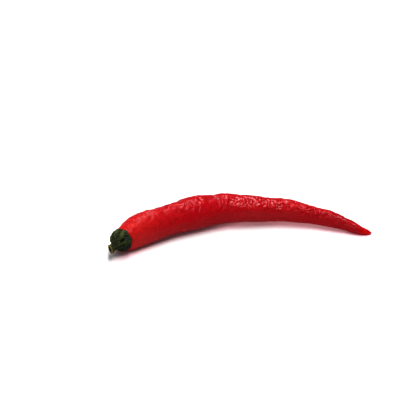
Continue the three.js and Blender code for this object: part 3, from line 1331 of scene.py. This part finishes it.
    def edge(self, outer: np.ndarray, skin: np.ndarray, normal: np.ndarray) -> np.ndarray:
        """The rounded edge, from the cap's last row down to the pod's skin.

        Args:
            outer: The cap's last row.
            skin: The pod's skin below it.
            normal: The directions out of the skin there.

        Returns:
            The edge's rows.
        """
        inner = skin + normal * self.seat
        middle = (outer + inner) / 2
        half = (outer - inner) / 2
        length = np.linalg.norm(half, axis=-1, keepdims=True)
        out = skin - skin.mean(axis=0)
        out = unit(out - normal * np.sum(out * normal, axis=-1, keepdims=True)) * length * self.rim_roundness
        turns = np.linspace(0.0, math.pi, self.rim_rows + 2)[1:-1]
        return np.stack([middle + half * math.cos(turn) + out * math.sin(turn) for turn in turns])

    def build(self) -> bpy.types.Object:
        """Makes the calyx, which replaces its solid.

        Returns:
            The calyx.
        """
        rows, height, worn = self.rows()
        mesh = mesh_from_rows("calyx_cap", rows * MM, None, {"height": height, "bare": worn})
        mesh.materials.append(self.finish.material())
        return dressed(add_object("calyx_cap", mesh), Slot.CALYX, "calyx")


@dataclass
class Stub:
    """The stub of the stem with its torn end.

    Bark spans are shares of the stub's length, and the torn end's are shares of its radius. Ribs and teeth
    are how many stand round the stub and how high they are. The finish's mark is painted shading: the bark's
    ridges lighter and its grooves darker, and painted shade deepening into the pith's hollow.
    """

    pod: PodForm = field(default_factory=PodForm)
    form: StubForm = field(default_factory=StubForm)
    finish: LeafyFinish = field(default_factory=stub_finish)
    sides: int = 180
    rings: int = 72
    end_rows: int = 26
    coarse_ribs: tuple[int, float] = (13, 0.05)
    coarse_sway: float = 2.0
    coarse_waves: float = 3.1
    fine_ribs: tuple[int, float] = (29, 0.03)
    bark_grain: Grain = Grain(0.10, 1.3)
    bark_stretch: Triple = (0.5, 0.5, 1.0)
    bark_painted_shading: float = 6.0
    burr_span: Span = (0.82, 0.97)
    burr_height: float = 0.048
    burr_grain: Grain = Grain(0.12, 1.0, octaves=2, shift=9.0)
    bare_side: float = 0.75
    bare_side_span: Span = (0.9, 1.0)
    bevel: float = 0.02
    lip_height: float = 0.12
    pith_wall: float = 0.12
    pith_floor: float = 0.35
    pith_last: float = 0.25
    rim_grain: Grain = Grain(0.16, 1.1, shift=3.0)
    rim_teeth: tuple[int, float] = (17, 0.05)
    rim_shares: Triple = (0.2, 0.45, 0.8)
    rim_span: Span = (0.35, 0.9)
    uneven_span: Span = (0.4, 1.0)
    torn_grain: Grain = Grain(0.07, 2.4, octaves=2)
    torn_span: Span = (0.2, 0.6)
    bare_end_span: Span = (0.5, 0.85)
    pith_painted_shade: float = 0.7
    pith_painted_shade_mean: float = 0.9

    def end_profile(self) -> tuple[np.ndarray, np.ndarray]:
        """The broken end from its outer lip into the hollow of its pith.

        Returns:
            Shares of the end's radius, and how far each lies before the end, in millimetres.
        """
        step = np.linspace(0.0, 1.0, self.end_rows)
        hollow = self.form.pith_radius / self.form.end_radius
        inwards = (1.0 - self.bevel - self.pith_last * hollow) * smooth_step((0.0, 1.0), step)
        share = 1.0 - self.bevel * step - inwards
        ahead = self.lip_height * np.sin(np.pi * np.minimum((1 - share) / (1 - hollow), 1.0))
        wall = (hollow + self.pith_wall, self.pith_floor * hollow)
        return share, ahead - self.form.pith_depth * smooth_step(wall, share)

    def bark(self, shares: np.ndarray, around: np.ndarray, plain: np.ndarray) -> np.ndarray:
        """Height of the bark: ribs, grain and a burr before the end.

        Args:
            shares: How far along the stub.
            around: Angle around it.
            plain: The points of its plain side.

        Returns:
            The bark's height at each point, in millimetres.
        """
        turn = np.radians(around)
        coarse = np.sin(self.coarse_ribs[0] * turn + self.coarse_sway * np.sin(self.coarse_waves * shares))
        fine = np.sin(self.fine_ribs[0] * turn - shares)
        ribs = self.coarse_ribs[1] * coarse + self.fine_ribs[1] * fine
        burr = smooth_step(self.burr_span, shares) * (self.burr_height + self.burr_grain.at(plain))
        return ribs + self.bark_grain.at(plain * np.array(self.bark_stretch)) + burr

    def torn_end(self, lip_radius: np.ndarray, rim: np.ndarray, around: np.ndarray,
                 profile: tuple[np.ndarray, np.ndarray]) -> np.ndarray:
        """Rings of points from the lip into the hollow of the pith.

        Args:
            lip_radius: The stub's radius at its end, at each angle.
            rim: How far the rim stands out there.
            around: The angles.
            profile: Each ring's share of the radius, and how far it lies before the end.

        Returns:
            The rings.
        """
        one = np.ones_like(around)
        heading = self.form.frame(self.pod, one)[1]
        rings = []
        for share, ahead in zip(*profile):
            uneven = smooth_step(self.uneven_span, share)
            radius = lip_radius * uneven + lip_radius.mean() * (1.0 - uneven)
            ring = self.form.side(self.pod, one, around, radius * share)
            ragged = ahead + rim * smooth_step(self.rim_span, share)
            ragged = ragged + self.torn_grain.at(ring) * smooth_step(self.torn_span, share)
            rings.append(ring + heading * ragged[:, None])
        return np.stack(rings)

    def rows(self) -> tuple[np.ndarray, np.ndarray, np.ndarray]:
        """Rows of points along the stub and into its end.

        Returns:
            The rows, their painted shading (the bark's height above its mean, and painted shade deeper in the
            pith's hollow) and how bare or torn they are.
        """
        around = np.linspace(0.0, 360.0, self.sides, endpoint=False)
        shares, grid_around = np.meshgrid(np.linspace(0.0, 1.0, self.rings), around, indexing="ij")
        radius = self.form.radius(shares, grid_around)
        plain = self.form.side(self.pod, shares, grid_around, radius)
        bark = self.bark(shares, grid_around, plain)
        side = self.form.side(self.pod, shares, grid_around, radius + bark)
        teeth, tooth_height = self.rim_teeth
        rim = self.rim_grain.at(plain[-1]) + tooth_height * np.sin(np.radians(around) * teeth)
        share, ahead = (values[1:] for values in self.end_profile())
        end = self.torn_end(radius[-1] + bark[-1], rim, around, (share, ahead))
        heading = self.form.frame(self.pod, np.ones_like(around))[1]
        for row, rim_share in zip((-3, -2, -1), self.rim_shares):
            side[row] += heading * (rim * rim_share)[:, None]
        rows = np.concatenate([side, end])
        # The finish's height mark is painted shading: the bark's ridges lighter and its grooves darker, and
        # painted shade deepening into the pith's hollow.
        end_height = (share[:, None] - self.pith_painted_shade_mean) * self.pith_painted_shade
        height = np.concatenate([bark * self.bark_painted_shading, np.repeat(end_height, self.sides, axis=1)])
        bare = np.zeros(rows.shape[:2])
        bare[: self.rings] = self.bare_side * smooth_step(self.bare_side_span, shares)
        bare[self.rings:] = smooth_step(self.bare_end_span, share)[:, None]
        return rows, height, bare

    def build(self) -> bpy.types.Object:
        """Makes the stub, which replaces its solid.

        Returns:
            The stub.
        """
        rows, height, bare = self.rows()
        ends = (self.form.frame(self.pod, np.array(0.0))[0] * MM, rows[-1].mean(axis=0) * MM)
        mesh = mesh_from_rows("stem_stub", rows * MM, ends, {"height": height, "bare": bare})
        mesh.materials.append(self.finish.material())
        return dressed(add_object("stem_stub", mesh), Slot.STEM, "stem")


@dataclass(frozen=True)
class StrawFinish:
    """Dry straw-coloured fibres."""

    pale: Triple = (0.20, 0.18, 0.065)
    dark: Triple = (0.06, 0.06, 0.02)
    shade_scale: float = 2.5
    shade_span: Span = (-0.25, 0.25)
    roughness: float = 0.75
    bump_scale: float = 12.0
    bump_strength: float = 0.4
    bump_depth: float = 0.05

    def material(self) -> bpy.types.Material:
        """Builds the material.

        Returns:
            The material.
        """
        made, graph, shader = new_material("straw")
        place = graph.place()
        shade = graph.noise(place, self.shade_scale, detail=3.0).step(*self.shade_span)
        rough = graph.noise(place, self.bump_scale, detail=2.0)
        graph.feed(shader, {
            "Base Color": graph.mix(shade, rgba(self.dark), rgba(self.pale)), "Roughness": self.roughness,
            "Normal": graph.bump(self.bump_strength, self.bump_depth, rough)})
        return made


@dataclass
class Fibres:
    """The torn fibres that stand round the stub's broken end: thin cones, set by Geometry Nodes.

    Each root is a share of the end's radius out and leans by up to the lean. Sizes are shares of the length.
    """

    pod: PodForm = field(default_factory=PodForm)
    form: StubForm = field(default_factory=StubForm)
    finish: StrawFinish = field(default_factory=StrawFinish)
    count: int = 46
    length: float = 0.42
    radius: float = 0.05
    seed: int = 11
    sides: int = 6
    segments: int = 3
    top_share: float = 0.15
    lean: float = 0.35
    sizes: Span = (0.35, 1.25)
    turn_change: float = 3.0
    turn_phase: float = 2.7
    root_share: float = 0.80
    root_change: float = 0.14
    root_phase: float = 4.1
    root_ahead: float = 0.05

    def group(self) -> bpy.types.NodeTree:
        """The Geometry Nodes group that stands the fibres on the points of the rim.

        Returns:
            The group.
        """
        kinds = {"Length": "Float", "Radius": "Float", "Seed": "Int", "Straw": "Material"}
        graph, given = new_group("torn_fibres", "Rim", kinds, "Fibres")
        cone = graph.out("GeometryNodeMeshCone", None, {
            "Vertices": self.sides, "Side Segments": self.segments,
            "Radius Top": Value(graph, given.outputs["Radius"]) * self.top_share,
            "Radius Bottom": given.outputs["Radius"], "Depth": given.outputs["Length"]})
        heading = graph.out("GeometryNodeInputNamedAttribute", {"data_type": "FLOAT_VECTOR"},
                            {"Name": "heading"}, "Attribute")
        lean = graph.out("FunctionNodeRandomValue", {"data_type": "FLOAT_VECTOR"},
                         {0: (-self.lean,) * 3, 1: (self.lean,) * 3, "Seed": given.outputs["Seed"]})
        turned = graph.out("FunctionNodeAlignRotationToVector", {"axis": "Z"},
                           {"Vector": graph.vector("ADD", heading, lean)})
        size = graph.value("FunctionNodeRandomValue", {"data_type": "FLOAT"},
                           {2: self.sizes[0], 3: self.sizes[1], "Seed": given.outputs["Seed"]}, 1)
        placed = graph.out("GeometryNodeInstanceOnPoints", None, {
            "Points": given.outputs["Rim"], "Instance": cone, "Rotation": turned,
            "Scale": graph.xyz(size * 0.5 + 0.5, size * 0.5 + 0.5, size)})
        return graph.finish_group(placed, given.outputs["Straw"], "Fibres")

    def rim(self) -> bpy.types.Object:
        """The roots of the fibres as the points of a mesh, each with its heading.

        Returns:
            The mesh object.
        """
        index = np.arange(self.count)
        around = np.linspace(0.0, 360.0, self.count, endpoint=False)
        around = around + self.turn_change * np.sin(index * self.turn_phase)
        share = self.root_share + self.root_change * np.sin(index * self.root_phase)
        one = np.ones_like(around)
        heading = self.form.frame(self.pod, one)[1]
        roots = self.form.side(self.pod, one, around, self.form.radius(one, around) * share)
        mesh = bpy.data.meshes.new("rim_points")
        mesh.from_pydata([tuple(root * MM) for root in roots + heading * self.root_ahead], [], [])
        directions = mesh.attributes.new("heading", "FLOAT_VECTOR", "POINT")
        directions.data.foreach_set("vector", heading.astype(np.float32).ravel())
        return add_object("rim_points", mesh)

    def build(self) -> bpy.types.Object:
        """Makes the fibres, which have no solid.

        Returns:
            The fibres.
        """
        inputs = {"Length": self.length * MM, "Radius": self.radius * MM, "Seed": self.seed,
                  "Straw": self.finish.material()}
        return dressed(grown_by_nodes("torn_fibres", self.rim(), self.group(), inputs), Slot.STEM)


@dataclass(frozen=True)
class Softbox:
    """A white rectangular light over the pod, in metres, with its second side along Y as far as it can be."""

    name: str
    place: Triple
    size: Span
    power: float

    def build(self) -> None:
        """Hangs the light and turns it to the middle of the floor."""
        data = bpy.data.lights.new(self.name, "AREA")
        data.shape = "RECTANGLE"
        data.size, data.size_y = self.size
        data.energy = self.power
        back = Vector(self.place).normalized()
        across = Vector((0.0, 1.0, 0.0)).cross(back).normalized()
        turned = Matrix((across, back.cross(across), back)).transposed().to_4x4()
        add_object(self.name, data).matrix_world = Matrix.Translation(self.place) @ turned


@dataclass
class Studio:
    """A white floor, soft lights and the camera.

    Two effects follow the pod's bow, an arc with a centre and a radius: a tint near the pod, in place of the
    red light that it casts, and a glow in the gap below its raised parts, in place of the light that passes
    there. Their reaches are distances from the arc, and their other spans are places along X. Each lift is a
    span and how much of the glow it adds.
    """

    floor_size: float = 6000.0
    floor_colour: Triple = (0.65, 0.65, 0.65)
    floor_roughness: float = 0.9
    bow: Triple = (3.6, -74.1, 85.7)
    tint: Triple = (0.74, 0.51, 0.55)
    tint_reach: Span = (9.0, 2.0)
    tint_start: Span = (-64.0, -52.0)
    tint_end: Span = (72.0, 60.0)
    gap_glow: Triple = (0.30, 0.17, 0.18)
    gap_reach: Span = (5.0, 1.0)
    gap_lifts: tuple[tuple[Span, float], ...] = (((-56.0, -44.0), 0.4), ((-12.0, 8.0), 0.6))
    gap_end: Span = (60.0, 48.0)
    sky: float = 0.3
    lights: tuple[Softbox, ...] = (
        Softbox("top_strip", (0.12, 0.05, 0.88), (0.07, 1.5), 18.5),
        Softbox("left_box", (-0.7, -0.7, 0.6), (0.6, 0.6), 6.0),
    )
    target: Triple = (-12.3, 39.7, 0.0)
    heading: float = 8.0
    elevation: float = 25.0
    distance: float = 650.0
    lens: float = 117.0
    sensor: float = 36.0
    film_gamma: float = 0.7

    def build(self) -> None:
        """Sets up the floor, the lights, the sky, the camera and the film."""
        self.floor()
        self.light()
        self.camera()
        self.film()

    def floor_paint(self) -> bpy.types.Material:
        """The floor's white, with the tint and the glow of the pod.

        Returns:
            The material.
        """
        made, graph, shader = new_material("floor_paint")
        x, y, _ = graph.split(graph.place())
        across, back = x - self.bow[0], y - self.bow[1]
        aside = ((across * across + back * back).sqrt() - self.bow[2]).abs()
        tint = aside.step(*self.tint_reach) * x.step(*self.tint_start) * x.step(*self.tint_end)
        raised = x * 0.0
        for span, share in self.gap_lifts:
            raised = raised + x.step(*span) * share
        glow = aside.step(*self.gap_reach) * raised * x.step(*self.gap_end)
        graph.feed(shader, {
            "Base Color": graph.mix(tint, rgba(self.floor_colour), rgba(self.tint)),
            "Emission Color": graph.mix(glow, rgba((0.0, 0.0, 0.0)), rgba(self.gap_glow)),
            "Emission Strength": 1.0, "Roughness": self.floor_roughness, "Specular IOR Level": 0.0})
        return made

    def floor(self) -> None:
        """Lays the floor that the pod rests on."""
        half = self.floor_size * MM / 2
        corners = [(-half, -half, 0), (half, -half, 0), (half, half, 0), (-half, half, 0)]
        mesh = bpy.data.meshes.new("floor")
        mesh.from_pydata(corners, [], [(0, 1, 2, 3)])
        mesh.materials.append(self.floor_paint())
        add_object("floor", mesh)

    def light(self) -> None:
        """Hangs the lights and sets an even white sky."""
        for softbox in self.lights:
            softbox.build()
        world = bpy.data.worlds.new("sky")
        world.use_nodes = True
        background = world.node_tree.nodes["Background"]
        background.inputs["Strength"].default_value = self.sky
        background.inputs["Color"].default_value = rgba((1.0, 1.0, 1.0))
        bpy.context.scene.world = world

    def camera(self) -> None:
        """Puts the camera where the pod has its place and its length in the frame."""
        data = bpy.data.cameras.new("camera")
        data.lens, data.sensor_width = self.lens, self.sensor
        turn, tilt = math.radians(self.heading), math.radians(self.elevation)
        level = Vector((math.sin(turn), math.cos(turn), 0.0))
        forward = level * math.cos(tilt) - Vector(UP) * math.sin(tilt)
        right = forward.cross(Vector(UP)).normalized()
        place = Vector(self.target) * MM - forward * self.distance * MM
        turned = Matrix((right, right.cross(forward), -forward)).transposed().to_4x4()
        camera = add_object("camera", data)
        camera.matrix_world = Matrix.Translation(place) @ turned
        bpy.context.scene.camera = camera

    def film(self) -> None:
        """Sets the picture's contrast: the standard view with deepened shadows."""
        view = bpy.context.scene.view_settings
        view.view_transform = "Standard"
        view.look = "None"
        view.gamma = self.film_gamma


def main() -> None:
    """Builds the studio and the pieces, and reports each."""
    logging.basicConfig(level=logging.INFO, format="%(message)s")
    Studio().build()
    steps: tuple[Callable[[], bpy.types.Object], ...] = (
        Pod().build, Calyx().build, Stub().build, Fibres().build)
    for step in steps:
        piece = step()
        log.info("%s: %d faces", piece.name, len(piece.data.polygons))


if __name__ == "__main__":
    main()
